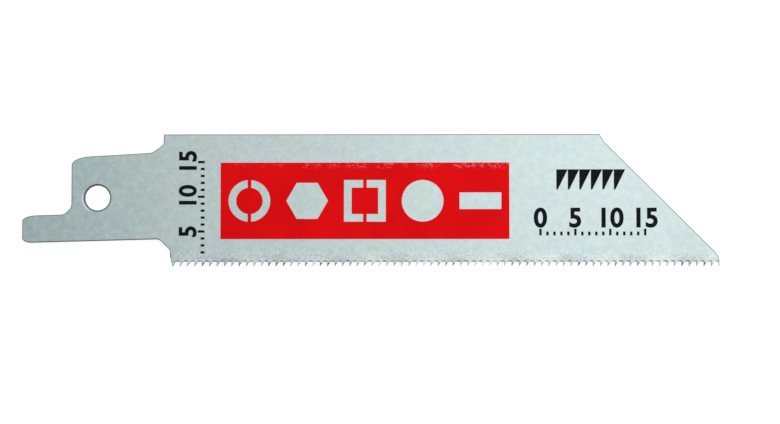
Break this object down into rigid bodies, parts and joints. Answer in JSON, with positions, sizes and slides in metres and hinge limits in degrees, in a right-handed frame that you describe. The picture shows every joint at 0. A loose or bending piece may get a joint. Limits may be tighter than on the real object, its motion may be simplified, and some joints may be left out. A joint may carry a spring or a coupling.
{
  "type": "reciprocating saw blade",
  "caption": "Flat steel saw blade for cutting metal, with fine wavy-set teeth, a slanted nose, a stepped shank with a pin hole and a printed colour field.",
  "frame": {"origin": "on the ground under the middle of the blade, which lies flat with its printed side up", "axes": "+X from the tang to the nose, +Y from the tooth tips to the back edge, +Z out of the printed side"},
  "size_m": [0.1, 0.019, 0.0013],
  "materials": {
    "steel": "satin",
    "red_ink": "satin"
  },
  "bodies": {
    "root": {"blade": "steel", "printed_field": "red_ink"}
  },
  "joints": []
}
